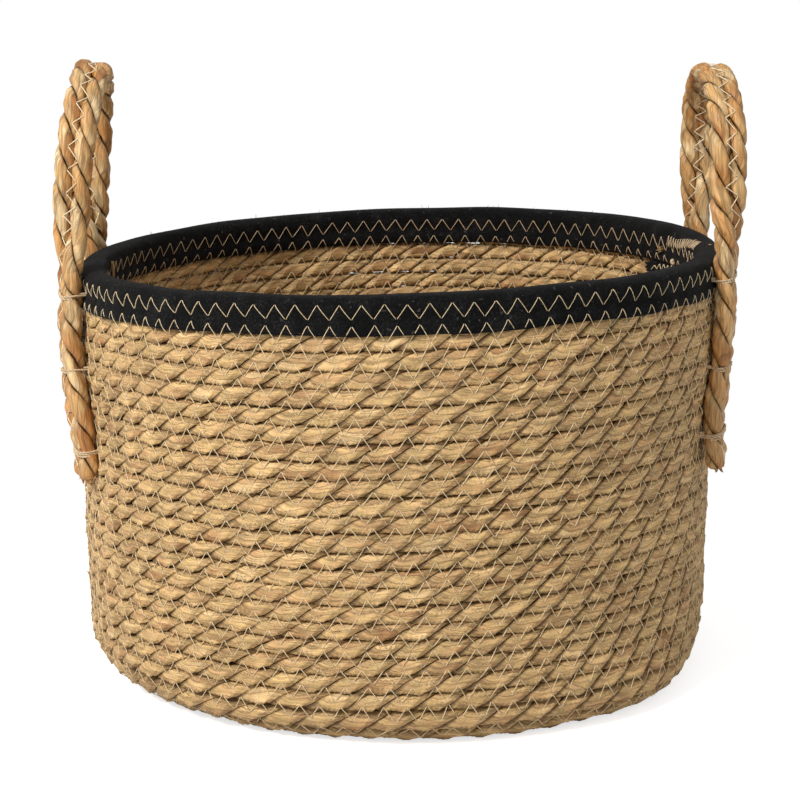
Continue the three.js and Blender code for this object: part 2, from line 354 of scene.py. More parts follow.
# %% Leaves in a twisted strand
def leaf_group():
    tree = bpy.data.node_groups.new("leaves_in_a_strand", "ShaderNodeTree")
    tree.interface.new_socket("Fibre", in_out="INPUT", socket_type="NodeSocketVector")
    tree.interface.new_socket("Leaves Around", in_out="INPUT", socket_type="NodeSocketFloat")
    results = ("Tint", "Edge", "Streak", "Blemish", "Height")
    for name in results:
        tree.interface.new_socket(name, in_out="OUTPUT", socket_type="NodeSocketFloat")
    given = add_node(tree, "NodeGroupInput")
    result = add_node(tree, "NodeGroupOutput")
    fibre = given.outputs["Fibre"]

    def grain(fine_across, fine_along, detail=1.0, roughness=0.5):
        """Noise that is drawn out along the fibres."""
        mapping = add_node(tree, "ShaderNodeMapping", {"Scale": (fine_across, fine_across, fine_along)})
        tree.links.new(fibre, mapping.inputs["Vector"])
        return noise_node(tree, mapping.outputs["Vector"], 1.0, detail, roughness)

    split = add_node(tree, "ShaderNodeSeparateXYZ")
    tree.links.new(fibre, split.inputs[0])
    angle = math_node(tree, "ARCTAN2", split.outputs["Y"], split.outputs["X"])
    turn = math_node(tree, "DIVIDE", angle, 2 * math.pi)
    # Leaves lie side by side round the strand, and meander a little
    lane = math_node(tree, "MULTIPLY", turn, given.outputs["Leaves Around"])
    lane = math_node(tree, "ADD", lane, math_node(tree, "MULTIPLY", grain(120, 30, 1.0, 0.4), 3.2))
    cell = math_node(tree, "FLOOR", lane)
    across = math_node(tree, "FRACT", lane)
    # Each leaf has a tint of its own, which changes along it
    place = add_node(tree, "ShaderNodeCombineXYZ")
    tree.links.new(math_node(tree, "MULTIPLY", cell, 5.3), place.inputs[0])
    tree.links.new(math_node(tree, "MULTIPLY", split.outputs["Z"], 34.0), place.inputs[2])
    tint = range_node(tree, noise_node(tree, place.outputs[0], 1.0, 1.0, 0.6), 0.27, 0.73)
    # Its edge is a thin line, and fine folds run along it here and there
    to_edge = math_node(tree, "MINIMUM", across, math_node(tree, "SUBTRACT", 1.0, across))
    edge = range_node(tree, to_edge, 0.0, 0.08, 1.0, 0.0)
    off_level = math_node(tree, "ABSOLUTE", math_node(tree, "SUBTRACT", grain(820, 44), 0.5))
    fold = range_node(tree, off_level, 0.01, 0.035, 1.0, 0.0)
    folded = range_node(tree, grain(260, 70), 0.42, 0.56)
    lines = math_node(tree, "MAXIMUM", edge, math_node(tree, "MULTIPLY", fold, folded))
    # Streaks are fine, middling and broad
    fine = grain(2300, 110, 2.0, 0.6)
    middling = grain(950, 66, 2.0, 0.6)
    streaks = weighted_sum(tree, (fine, 0.36), (middling, 0.36), (grain(400, 44), 0.28))
    blemish = range_node(tree, grain(520, 210, 2.0, 0.55), 0.65, 0.74)
    height = weighted_sum(tree, (across, 0.3), (streaks, 1.0), (lines, -0.3))
    for name, value in zip(results, (tint, lines, streaks, blemish, height)):
        tree.links.new(value, result.inputs[name])
    return tree


leaves_in_a_strand = leaf_group()


# %% Seagrass, for the coil and for the handles
def seagrass_material(name, palette, leaf_count, roughness, gloss, relief):
    material, tree, shader = new_material(name, {"Specular IOR Level": gloss})
    fibre = add_node(tree, "ShaderNodeAttribute", attribute_name="fibre")
    cleft_shade = add_node(tree, "ShaderNodeAttribute", attribute_name="cleft_shade")
    leaves = add_node(tree, "ShaderNodeGroup", node_tree=leaves_in_a_strand)
    leaves.inputs["Leaves Around"].default_value = leaf_count
    tree.links.new(fibre.outputs["Vector"], leaves.inputs["Fibre"])
    colour = ramp_node(tree, leaves.outputs["Tint"], palette)
    # Light and dark streaks, and weathered patches wider than a row
    shade = range_node(tree, leaves.outputs["Streak"], 0.37, 0.63, 0.55, 1.4)
    place = add_node(tree, "ShaderNodeTexCoord").outputs["Object"]
    patch = range_node(tree, noise_node(tree, place, 28), 0.3, 0.7, 0.88, 1.1)
    colour = mix_colours(tree, 1.0, colour, math_node(tree, "MULTIPLY", shade, patch), "MULTIPLY")
    # Darker leaf edges and blemishes, and painted shade in the clefts and between the rows
    stains_and_shade = [(leaves.outputs["Edge"], 0.6, (0.16, 0.085, 0.03)),
              (leaves.outputs["Blemish"], 0.5, (0.17, 0.085, 0.035)),
              # The last entry is painted shade, read from the rope's cleft mask
              (cleft_shade.outputs["Fac"], 0.84, (0.062, 0.034, 0.013))]
    for mask, strength, dark_tone in stains_and_shade:
        colour = mix_colours(tree, math_node(tree, "MULTIPLY", mask, strength), colour, dark_tone)
    tree.links.new(colour, shader.inputs["Base Color"])
    rough = range_node(tree, leaves.outputs["Streak"], 0.0, 1.0, roughness + 0.15, roughness - 0.15)
    tree.links.new(rough, shader.inputs["Roughness"])
    raise_surface(tree, shader, leaves.outputs["Height"], 0.9, relief)
    return material


wall_palette = [
    (0.04, (0.37, 0.188, 0.072)),
    (0.22, (0.51, 0.301, 0.128)),
    (0.42, (0.572, 0.356, 0.156)),
    (0.58, (0.572, 0.376, 0.154)),
    (0.74, (0.643, 0.414, 0.183)),
    (1.0, (0.69, 0.47, 0.225)),
]
handle_palette = [
    (0.05, (0.36, 0.14, 0.031)),
    (0.28, (0.49, 0.222, 0.060)),
    (0.45, (0.54, 0.282, 0.094)),
    (0.62, (0.58, 0.345, 0.133)),
    (0.85, (0.71, 0.50, 0.255)),
]
seagrass = seagrass_material("seagrass", wall_palette, 5.0, 0.6, 0.35, 0.5 * mm)
golden_seagrass = seagrass_material("golden_seagrass", handle_palette, 3.0, 0.5, 0.5, 0.45 * mm)


# %% [markdown]
# ## Cotton thread and felted strip
# The seams are cream cotton, dull and slightly uneven in tone. The strip over the rim is black
# cotton, felted by its raised nap: fine fuzzy grain, a few paler fibres, and a soft sheen.

# %% Thread and felt
def thread_material(name, light, dark):
    material, tree, shader = new_material(name, {"Roughness": 0.65})
    place = add_node(tree, "ShaderNodeTexCoord").outputs["Object"]
    colour = ramp_node(tree, noise_node(tree, place, 900), [(0.3, dark), (0.6, light)])
    tree.links.new(colour, shader.inputs["Base Color"])
    raise_surface(tree, shader, noise_node(tree, place, 2600, 1.0), 0.5, 0.08 * mm)
    return material


felt_palette = [
    (0.36, (0.0012, 0.0011, 0.0011)),
    (0.52, (0.005, 0.0048, 0.0047)),
    (0.68, (0.026, 0.0247, 0.0242)),
]


def felt_material(name):
    dull = {"Roughness": 0.95, "Specular IOR Level": 0.1, "Sheen Weight": 0.02, "Sheen Roughness": 0.5}
    material, tree, shader = new_material(name, dull)
    place = add_node(tree, "ShaderNodeTexCoord").outputs["Object"]
    nap = noise_node(tree, place, 950, 4.0, 0.75)
    grain = weighted_sum(tree, (nap, 0.7), (noise_node(tree, place, 90, 3.0, 0.6), 0.3))
    colour = ramp_node(tree, grain, felt_palette)
    lint = range_node(tree, noise_node(tree, place, 420, 1.0, 0.4), 0.7, 0.78)
    colour = mix_colours(tree, math_node(tree, "MULTIPLY", lint, 0.35), colour, (0.12, 0.115, 0.11))
    tree.links.new(colour, shader.inputs["Base Color"])
    raise_surface(tree, shader, grain, 1.0, 0.4 * mm)
    return material


cream_thread = thread_material("cream_thread", (0.74, 0.59, 0.36), (0.46, 0.34, 0.18))
pale_thread = thread_material("pale_thread", (0.82, 0.69, 0.46), (0.60, 0.46, 0.27))
lashing_thread = thread_material("lashing_thread", (0.70, 0.52, 0.32), (0.44, 0.30, 0.16))
black_felt = felt_material("black_felt")


# %% [markdown]
# ## Twisted rope
# As on a rope walk, a rope is first made straight: a straight curve whose bevel profile holds both
# strands side by side, and whose tilt turns that profile once in every lay. It is then bent along its
# route. The sweep gives the rings in order, so each point's place in its own strand is known.

# %% A straight rope of two strands
def profile_curve(name, loops):
    """A flat section to sweep: each loop is the x and y values of a closed outline."""
    curve = bpy.data.curves.new(name, "CURVE")
    curve.dimensions = "2D"
    for x, y in loops:
        spline = curve.splines.new("POLY")
        spline.points.add(len(x) - 1)
        spline.points.foreach_set("co", np.stack([x, y, 0 * x, 1 + 0 * x], -1).ravel())
        spline.use_cyclic_u = True
    return into_scene(name, curve)


def strand_profile(sides, radius, depth_share=0.42, width_share=0.8, skew=0.0):
    """The section of both strands. They lie flat against each other, and bulge outwards.

    With a skew each crest lies nearer to one edge, so that a strand overlaps the next like a shingle.
    """
    angle = np.arange(sides) * 2 * math.pi / sides
    middle = depth_share * radius
    outer = np.cos(angle) > 0
    squareness = np.where(outer, 2 / 2.3, 2 / 5)  # exponents: 2 / 2 would be round, 0 square
    c, s = (np.sign(part) * np.abs(part) ** squareness for part in (np.cos(angle), np.sin(angle)))
    deep = np.where(outer, radius - middle, middle) * c
    wide = width_share * radius * s + skew * np.maximum(deep, 0)
    return profile_curve("strand_profile", [(side * (middle + deep), side * wide) for side in (1, -1)])


def flat_profile(sides, width, thickness):
    """An oval, for a strip of leaf."""
    angle = np.arange(sides) * 2 * math.pi / sides
    return profile_curve("flat_profile", [(width / 2 * np.cos(angle), thickness / 2 * np.sin(angle))])


def swept_mesh(name, splines, profile=None, thickness=0, smoothness=0, twist_mode="Z_UP"):
    """The closed mesh of curves with a bevel. Each spline is (points, tilts, radii)."""
    curve = bpy.data.curves.new(name, "CURVE")
    curve.dimensions = "3D"
    curve.twist_mode = twist_mode
    if profile:
        curve.bevel_mode = "OBJECT"
        curve.bevel_object = profile
    else:
        curve.bevel_depth = thickness / 2
        curve.bevel_resolution = smoothness
    for points, tilts, radii in splines:
        spline = curve.splines.new("POLY")
        spline.points.add(len(points) - 1)
        spline.points.foreach_set("co", np.c_[points, np.ones(len(points))].ravel())
        spline.points.foreach_set("tilt", np.broadcast_to(tilts, len(points)).astype(float))
        spline.points.foreach_set("radius", np.broadcast_to(radii, len(points)).astype(float))
    holder = into_scene(name, curve)
    bpy.context.view_layer.update()
    evaluated = holder.evaluated_get(bpy.context.evaluated_depsgraph_get())
    mesh = bpy.data.meshes.new_from_object(evaluated)
    bpy.data.objects.remove(holder)
    bpy.data.curves.remove(curve)
    if profile:
        bpy.data.objects.remove(profile)
    mesh.name = name
    bm = bmesh.new()
    bm.from_mesh(mesh)
    open_ends = [edge for edge in bm.edges if edge.is_boundary]
    bmesh.ops.holes_fill(bm, edges=open_ends, sides=0)
    for edge in open_ends:
        edge.smooth = False
    bm.to_mesh(mesh)
    bm.free()
    return mesh


def facing_out(mesh):
    """The same mesh with its faces turned to the outside."""
    bm = bmesh.new()
    bm.from_mesh(mesh)
    bmesh.ops.recalc_face_normals(bm, faces=bm.faces)
    bm.to_mesh(mesh)
    bm.free()
    return mesh


def add_piece(name, mesh, material, nodes=()):
    """A finished piece at the origin, riding on the basket and standing for its solids."""
    piece = into_scene(name, mesh)
    mesh.materials.clear()
    mesh.materials.append(material)
    mesh.polygons.foreach_set("use_smooth", np.ones(len(mesh.polygons), bool))
    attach(piece, "root")
    if nodes:
        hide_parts(*nodes)
    return piece


def sewn_thread(name, points, thickness, material, smoothness=0):
    """A piece of thread along these points, with its faces turned out where it is rounded."""
    mesh = swept_mesh(name, [(points, 0, 1)], None, thickness, smoothness, "MINIMUM")
    return add_piece(name, facing_out(mesh) if smoothness else mesh, material)


def read_points(mesh):
    points = np.empty(len(mesh.vertices) * 3)
    mesh.vertices.foreach_get("co", points)
    return points.reshape(-1, 3)


def pressed_on_floor(points):
    """The same points, with what would sink into the floor pressed flat on it."""
    soft = 0.5 * mm
    height = points[..., 2]
    points[..., 2] = np.where(height < soft, soft * np.exp(np.minimum(height / soft - 1, 0)), height)
    return points


def write_points(mesh, points):
    """Put a mesh's points in place, as the basket has set and stands on its floor."""
    mesh.vertices.foreach_set("co", pressed_on_floor(lean(points)).ravel())
    mesh.update()


# Stores where each point lies in its strand, and the painted shade of its clefts and row gaps
def store_fibre(mesh, fibre, cleft_shade):
    mesh.attributes.new("fibre", "FLOAT_VECTOR", "POINT").data.foreach_set("vector", fibre.ravel())
    mesh.attributes.new("cleft_shade", "FLOAT", "POINT").data.foreach_set("value", cleft_shade.ravel())


# %% [markdown]
# ## Shaping and bending the strands
# The straight rope is too perfect. Each strand's skin is raised and sunk by a few waves round it
# that change along it, and by creases where a leaf folds. Rows that touch press each other flat. The
# same pass stores where each point lies in its straightened strand, for the finishes.

# %% Leaf relief and the bend along a route
fibre_turns = -0.5  # of the strand for every lay of the rope, so that the fibres lie along the rope
fibre_reach = 0.55  # radius of a strand in its own straightened space, as a share of the rope's
crease_width = 0.2  # in radians
row_squareness = 1.15
row_flare = 0.28  # by so much more a pressed row stands out where it meets its neighbours


def leaf_relief(turned, lengths, seed, strength, creases):
    """How far a strand's skin stands out, as a factor: five waves round it, and a few creases."""

    def waves(number, spacing):
        return wander(seed * 31 + number, spacing, float(lengths[-1]) + 1)(lengths)[:, None]

    relief = 1 + 1.6 * strength * waves(1, 0.019)
    for lobes in range(2, 7):
        rise, shift = waves(2 * lobes, 0.014), waves(2 * lobes + 1, 0.014)
        wave = rise * np.cos(lobes * turned) + shift * np.sin(lobes * turned)
        relief = relief + strength / lobes**0.6 * wave
    for k in range(creases):
        middle = k * 2.4 + 2.5 * waves(20 + k, 0.02)
        depth = 0.1 * np.clip(waves(25 + k, 0.013) + 0.25, 0, 1)
        away = np.abs((turned - middle + math.pi) % (2 * math.pi) - math.pi)
        relief = relief - depth * np.exp(-((away / crease_width) ** 2))
    return relief


def bent_rope(name, profile, lengths, route, twist, sizes, radius, lay, seed, press=0,
              strength=0.06, creases=2):
    """A two-strand rope along a route of (centres, out, along) arrays."""
    sides = len(profile.data.splines[0].points)
    centres, out, along = (rows[:, None] for rows in route)
    straight = np.stack([lengths - lengths[0], 0 * lengths, 0 * lengths], -1)
    mesh = swept_mesh(name, [(straight, twist, sizes)], profile)
    points = read_points(mesh).reshape(2, len(lengths), sides, 3)
    flat_out, flat_along = points[..., 1], points[..., 2]
    middle_out = flat_out.mean(2, keepdims=True)
    middle_along = flat_along.mean(2, keepdims=True)
    local_out, local_along = flat_out - middle_out, flat_along - middle_along
    wound = fibre_turns * 2 * math.pi / lay * lengths[:, None]
    turned = np.arctan2(local_along, local_out) - wound
    relief = np.stack([leaf_relief(turned[k], lengths, seed + k, strength, creases) for k in range(2)])
    flat_out = middle_out + local_out * relief
    flat_along = middle_along + local_along * relief
    if press:
        flat_along = press * np.tanh(flat_along / press) / np.tanh(1)
        # Packed between its neighbours and drawn tight by its stitches, a row is squarer than round
        flat_out = radius * np.tanh(flat_out / radius * row_squareness) / np.tanh(row_squareness)
        flat_out = flat_out * (1 + row_flare * np.minimum(1, (flat_along / press) ** 2))
    bent = centres + out * flat_out[..., None] + along * flat_along[..., None]
    # Where each point lies in its strand. Strands lie far apart there, so that no two have the same leaves
    reach = fibre_reach * radius
    run = lengths[:, None] + 3.7 * (seed + np.arange(2)[:, None, None]) + 0 * turned
    fibre = np.stack([reach * np.cos(turned), reach * np.sin(turned), run], -1)
    # How deep it lies in the cleft between the strands, kept as painted shade for the clefts
    towards = -(local_out * middle_out + local_along * middle_along) / (middle_out**2 + middle_along**2)
    depth = np.clip((towards - 0.35) / 0.6, 0, 1) ** 2
    if press:
        # Painted shade: the cleft is shaded more low on a row, and the gaps between the rows are shaded too,
        # most on a row's underside
        depth = depth * (0.4 + 0.6 * smooth_share(-flat_along / press, -0.75, 0.55))
        row_gap_shade = smooth_share(np.abs(flat_along) / press, 0.85, 1.0) * np.where(flat_along < 0, 0.8, 0.55)
        depth = np.maximum(depth, row_gap_shade)
    store_fibre(mesh, fibre, depth)
    write_points(mesh, bent.reshape(-1, 3))
    return facing_out(mesh)


# %% The coil in stretches
lay = 35 * mm
pressed_half = 4.5 * mm  # half the height of a pressed row
twist_hand = 1  # -1 would lay the strands the other way round
coil_shares = (0.42, 0.82)  # a strand's depth and width, of the rope's radius
coil_skew = 0.5
row_rise, row_push = 0.33 * mm, 0.5 * mm  # how far a row wanders up and out
swelling = 0.06
ring_share = 0.22  # of the coil's radius: rings lie closer together in the floor's tight middle
# Shares of a turn by which the lay slips, each with its seed and the length over which it changes
slips = [(share, wander(seed, spacing, rope_length))
         for share, seed, spacing in ((0.055, 17, 0.03), (0.1, 13, 0.085), (0.1, 16, 0.3), (0.1, 15, 1.7))]


def lay_angle(lengths):
    """How far the strands have turned, evenly but for the slips."""
    return 2 * math.pi * (lengths / lay + sum(share * value(lengths) for share, value in slips))


def coil_stretch(name, start, end, spacing, sides, nodes, fullness=1):
    """One stretch of the rope, from one count of turns to another."""
    last = length_at(end)
    lengths = [length_at(start)]
    while lengths[-1] < last:
        radius = np.linalg.norm(coil_route(turns_at(lengths[-1]))[0][:2])
        lengths.append(lengths[-1] + min(spacing, radius * ring_share))
    lengths = np.array(lengths)
    lengths[-1] = last
    rise = row_rise * wander(11, 0.05, rope_length)(lengths)
    push = row_push * wander(12, 0.035, rope_length)(lengths)
    sizes = fullness + swelling * wander(14, 0.04, rope_length)(lengths)
    centres, out, along = coil_route(turns_at(lengths))
    route = (centres + along * rise[:, None] + out * push[:, None], out, along)
    profile = strand_profile(sides, rope_radius, *coil_shares, coil_skew)
    twist = twist_hand * lay_angle(lengths)
    mesh = bent_rope(name, profile, lengths, route, twist, sizes, rope_radius, lay, 1, pressed_half)
    return add_piece(name, mesh, seagrass, nodes)


# The floor's rows are fuller, so that they close up
floor_rope = coil_stretch("floor_rope", first_turn, floor_turns, 2.9 * mm, 12, ["floor_coil"], 1.1)
wall_marks = np.linspace(floor_turns, full_turns - 1, 6)
wall_ropes = [
    coil_stretch(f"wall_rope_{k + 1}", wall_marks[k], wall_marks[k + 1], 2.4 * mm, 20, ["wall_coil"])
    for k in range(5)
]
rim_rope = coil_stretch("rim_rope", full_turns - 1, full_turns, 3 * mm, 12, ["rim_coil"])
print("rope pieces:", [len(piece.data.polygons) for piece in [floor_rope, *wall_ropes, rim_rope]])

# %% [markdown]
# ## The rim's binding
# A strip of felted cotton is folded over the top two rows. Its section is a thin closed outline that
# follows the rows below it, and one spin about the basket's axis makes the whole ring. The seams
# draw it in a little along their zigzag, and its lower edge wavers.

# %% Zigzag of a rim seam, as a height round the basket
stitch_length = 10.3 * mm  # from one peak to the next
stitch_count = round(2 * math.pi * outer_radius / stitch_length)
rim_thread = 0.42 * mm
inside_low = 2.4 * mm  # by so much the upper seam lies lower on the inside
# Each seam's middle height, how far it swings up and down, and its shift in stitches
rim_seams = {
    "upper": (rim_height - 7.2 * mm, 3.7 * mm, 0.2),
    "lower": (binding_edge + 0.5 * mm, 4.3 * mm, 0.63),
}


def zigzag_height(azimuth, seam):
    middle, reach, shift = rim_seams[seam]
    phase = (azimuth / (2 * math.pi) * stitch_count + shift) % 1
    return middle + reach * (4 * np.abs(phase - 0.5) - 1)


def strip_drop(azimuth, side):
    """How much lower the strip's edge hangs: beside the handles on the outside, everywhere on the inside."""
    return np.where(side > 0, 1.9 * np.abs(np.cos(azimuth)) ** 5, 2.3) * mm


def seam_drop(seam, azimuth, side):
    """How much lower a rim seam runs. The lower one keeps to the strip's edge."""
    return strip_drop(azimuth, side) if seam == "lower" else inside_low * (side < 0)


# %% The folded strip
felt_thickness = 1.5 * mm
fold_height = 5.8 * mm
fold_low = rim_height - fold_height
row_bulge, row_hollow = 0.45 * mm, 0.25 * mm  # how the rows below show through the strip
stitch_draw = 0.45 * mm  # how deep a seam draws it in
binding_reach = binding_outer - wall_centre
binding_inner = wall_centre - binding_reach


def binding_section():
    """The strip's outline as (radius, height): up the outside, over the fold, down the inside, and back."""
    side = np.linspace(binding_edge, fold_low, 15)
    # The rows below shape the skin, and the lining is plain
    bulge = row_bulge * np.cos((side - top_centre) / row_pitch * 2 * math.pi) - row_hollow
    over = np.linspace(0, math.pi, 19)[1:-1]
    c, s = np.cos(over), np.sin(over)
    skin_radii = [binding_outer + bulge, wall_centre + binding_reach * np.sign(c) * np.abs(c) ** 0.65,
                  (binding_inner - bulge)[::-1]]
    skin_heights = [side, fold_low + fold_height * s**0.8, side[::-1]]
    lining = [(binding_inner + felt_thickness, binding_edge), (binding_inner + felt_thickness, fold_low),
              (wall_centre - binding_reach * 0.55, rim_height - 2 * felt_thickness),
              (wall_centre + binding_reach * 0.55, rim_height - 2 * felt_thickness),
              (binding_outer - felt_thickness, fold_low), (binding_outer - felt_thickness, binding_edge)]
    return [*zip(np.concatenate(skin_radii), np.concatenate(skin_heights)), *lining]


def make_binding():
    bm = bmesh.new()
    verts = [bm.verts.new((radius, 0, height)) for radius, height in binding_section()]
    edges = [bm.edges.new((verts[k], verts[(k + 1) % len(verts)])) for k in range(len(verts))]
    bmesh.ops.spin(bm, geom=verts + edges, cent=(0, 0, 0), axis=(0, 0, 1), dvec=(0, 0, 0),
                   angle=2 * math.pi, steps=720, use_merge=True)
    bmesh.ops.recalc_face_normals(bm, faces=bm.faces)
    mesh = bpy.data.meshes.new("rim_strip")
    bm.to_mesh(mesh)
    bm.free()
    x, y, height = read_points(mesh).T
    azimuth = np.arctan2(y, x)
    radius = np.hypot(x, y)
    outward = np.sign(radius - wall_centre)
    arc = (azimuth + math.pi) * outer_radius
    # The seams draw the skin in along their zigzag
    drawn = 0
    for seam in rim_seams:
        line = zigzag_height(azimuth, seam) - seam_drop(seam, azimuth, outward)
        drawn = drawn + stitch_draw * np.exp(-((0.6 * (height - line) / mm) ** 2))
    skin = np.abs(radius - wall_centre) > binding_reach - 1.2 * mm
    swell = 0.35 * mm * wander(41, 0.009, 2)(arc) + 0.25 * mm * wander(42, 0.03, 2)(arc)
    radius = radius + outward * np.where(skin, swell - drawn, 0)
    # Its edges waver most
    low = np.clip((rim_height - height) / (rim_height - binding_edge), 0, 1)
    waver = 0.5 * wander(43, 0.02, 2)(arc) * low + 0.35 * wander(44, 0.035, 2)(arc)
    height = height - strip_drop(azimuth, outward) * low**3 + waver * mm
    write_points(mesh, level_way(azimuth) * radius[:, None] + up * height[:, None])
    return add_piece("rim_strip", mesh, black_felt, ["rim_binding", "binding_lap"])


rim_strip = make_binding()
print("binding faces:", len(rim_strip.data.polygons))

# %% [markdown]
# ## Seams
# A zigzag seam is one thread. From hole to hole it lies taut over the grass: it touches the bulges
# and spans the hollows. So each stitch is sampled against the real surface with rays, the upper
# outline of those samples is the thread's line, and at each hole it dips into the rope.

# %% Lay a thread over the surface
ray_start, ray_depth = 12 * mm, 1 * mm  # off a seam's line, which lies inside the rope
near_hole = 0.07  # share of a stitch between a hole and the nearest sample
thread_rise = 0.3  # share of its thickness by which a thread's middle lies above what it touches


class Surface:
    """The finished meshes that a thread lies on."""

    def __init__(self, pieces):
        graph = bpy.context.evaluated_depsgraph_get()
        self.trees = [BVHTree.FromObject(piece, graph) for piece in pieces]

    def height(self, foot, direction):
        """How far from foot, along direction, the surface is first met on the way in."""
        origin = foot + direction * ray_start
        hits = [tree.ray_cast(origin, -direction, ray_start - ray_depth)[3] for tree in self.trees]
        return max([ray_depth, *(ray_start - hit for hit in hits if hit is not None)])


def taut(heights):
    """The upper outline of the heights: what a thread drawn tight over them follows."""
    count = len(heights)
    line = list(heights)
    for first in range(count):
        for last in range(first + 2, count):
            for middle in range(first + 1, last):
                share = (middle - first) / (last - first)
                line[middle] = max(line[middle], heights[first] * (1 - share) + heights[last] * share)
    return line


def zigzag_thread(route, holes, surface, side, thickness, sink, bury, drawn_in=0, samples=4):
    """The points of a thread through the holes, which are (length, offset) pairs on a route.

    It sinks into the rope at each hole, and lies buried by up to `bury` between them.
    """
    lengths, offsets = np.array(holes).T
    places, outs, alongs = route(lengths)
    places = places + alongs * offsets[:, None]
    feet = lean(places)
    tips = lean(places + outs * side * 10 * mm)
    random = np.random.default_rng(len(holes))
    points = []
    shares = [near_hole, *[(k + 1) / (samples + 1) for k in range(samples)], 1 - near_hole]
    for k in range(len(holes) - 1):
        first, last = Vector(feet[k]), Vector(feet[k + 1])
        first_way = (Vector(tips[k]) - first).normalized()
        last_way = (Vector(tips[k + 1]) - last).normalized()
        row = []
        for share in shares:
            foot = first.lerp(last, share)
            way = first_way.lerp(last_way, share).normalized()
            row.append((foot, way, surface.height(foot, way)))
        line = taut([height for _, _, height in row])
        # At the basket's left the stitches that climb were drawn in until they hardly show
        at_left = max(0, -first.x / outer_radius) ** 2 if offsets[k + 1] > offsets[k] else 0
        pressed = [bury * random.uniform(0, 1) ** 2 + drawn_in * at_left for _ in row]
        pressed[0] = bury * random.uniform(0, 0.6)
        pressed[-1] = bury * random.uniform(0, 0.6)
        points.append(first + first_way * (row[0][2] - sink))
        for (foot, way, _), height, depth in zip(row, line, pressed):
            points.append(foot + way * (height + thickness * thread_rise - depth))
    points.append(last + last_way * (row[-1][2] - sink))
    return np.array(points)


def zigzag_holes(start, end, period, reach, seed):
    """Needle holes alternately above and below a seam's line, with a hand's unevenness."""
    random = np.random.default_rng(seed)
    drift = wander(seed + 1, 0.3, end + 1)
    swing = wander(seed + 2, 0.11, end + 1)
    holes = []
    length = start
    high = 1
    while length < end:
        width = reach * (1 + 0.1 * float(swing(length)) + random.normal(0, 0.05))
        holes.append((length + random.normal(0, 0.03) * period, high * width))
        share = 0.53 if high > 0 else 0.47
        length += period * share * (1 + 0.06 * float(drift(length)))
        high = -high
    return holes


# %% The seam that joins the rows
seam_thread = 0.5 * mm
seam_depths = (1.0 * mm, 0.25 * mm, 0.75 * mm)  # sink, bury and drawn_in
rope_surface = Surface([floor_rope, *wall_ropes, rim_rope])


def row_seam_route(lengths):
    """The line between a row and the next one out or up."""
    turns = turns_at(lengths)
    here, out, along = coil_route(turns)
    following, out_after, along_after = coil_route(turns + 1)
    return (here + following) / 2, unit(out + out_after), unit(along + along_after)


holes = zigzag_holes(length_at(0.9), length_at(full_turns - 2), stitch_length, 3.95 * mm, 51)
seam_marks = np.linspace(0, len(holes) - 1, 5).astype(int)
for side, side_name, samples in ((1, "outside", 3), (-1, "inside", 2)):
    for k in range(4):
        part = holes[seam_marks[k]:seam_marks[k + 1] + 1]
        points = zigzag_thread(row_seam_route, part, rope_surface, side, seam_thread, *seam_depths, samples)
        sewn_thread(f"{side_name}_row_seam_{k + 1}", points, seam_thread, cream_thread)
print("row seam:", len(holes), "holes")

# %% The seams of the binding
rim_surface = Surface([rim_strip, wall_ropes[-1], rim_rope])


def rim_seam(seam, side, name):
    middle, reach, shift = rim_seams[seam]
    random = np.random.default_rng(61 + len(name))
    holes = []
    for k in range(2 * stitch_count + 1):
        low = k % 2
        azimuth = (k / 2 + 0.04 * low - shift) / stitch_count * 2 * math.pi
        jitter = random.normal(0, 0.02) * stitch_length
        height = (-reach if low else reach) * (1 + random.normal(0, 0.05))
        holes.append((azimuth * outer_radius + jitter, height - seam_drop(seam, azimuth, side)))

    def route(lengths):
        around = level_way(lengths / outer_radius)
        return around * wall_centre + up * middle, around, np.broadcast_to(up, around.shape)

    points = zigzag_thread(route, holes, rim_surface, side, rim_thread, 0.7 * mm, 0.1 * mm)
    # Inside the basket the same seam is drawn in the darker lashing thread, as painted shade
    return sewn_thread(name, points, rim_thread, cream_thread if side > 0 else lashing_thread)


for seam in rim_seams:
    rim_seam(seam, 1, f"outside_{seam}_rim_seam")
    rim_seam(seam, -1, f"inside_{seam}_rim_seam")

# %% [markdown]
# ## Handles
# Each handle is a pair of thicker ropes. On the wall the two lie flat, side by side; above the rim
# the pair turns a quarter, so that one rope lies behind the other and the arch stands upright. The
# route is worked out for the back leg, mirrored for the front one, and turned round for the left.

# %% The handles' route
handle_radius = 4.9 * mm
handle_lay = 35 * mm
handle_shares = (0.45, 0.78)
pair_spacing = 9.1 * mm
leg_half = handle_high.y - handle_radius
arch_rise = 50 * mm
leg_step = 1.2 * mm
arch_points = 66
quarter_climb = 36 * mm  # over which the pair turns a quarter
swing_start, swing_full = rim_height - 6 * mm, rim_height + 29 * mm
rope_swell = 1.05
rounded_end = 4 * mm
lashing_width = 4.2 * mm
lashing_draw = 0.15  # share of its thickness by which a lashing draws a rope in
leg_stand = outer_radius + handle_radius - 0.4 * mm
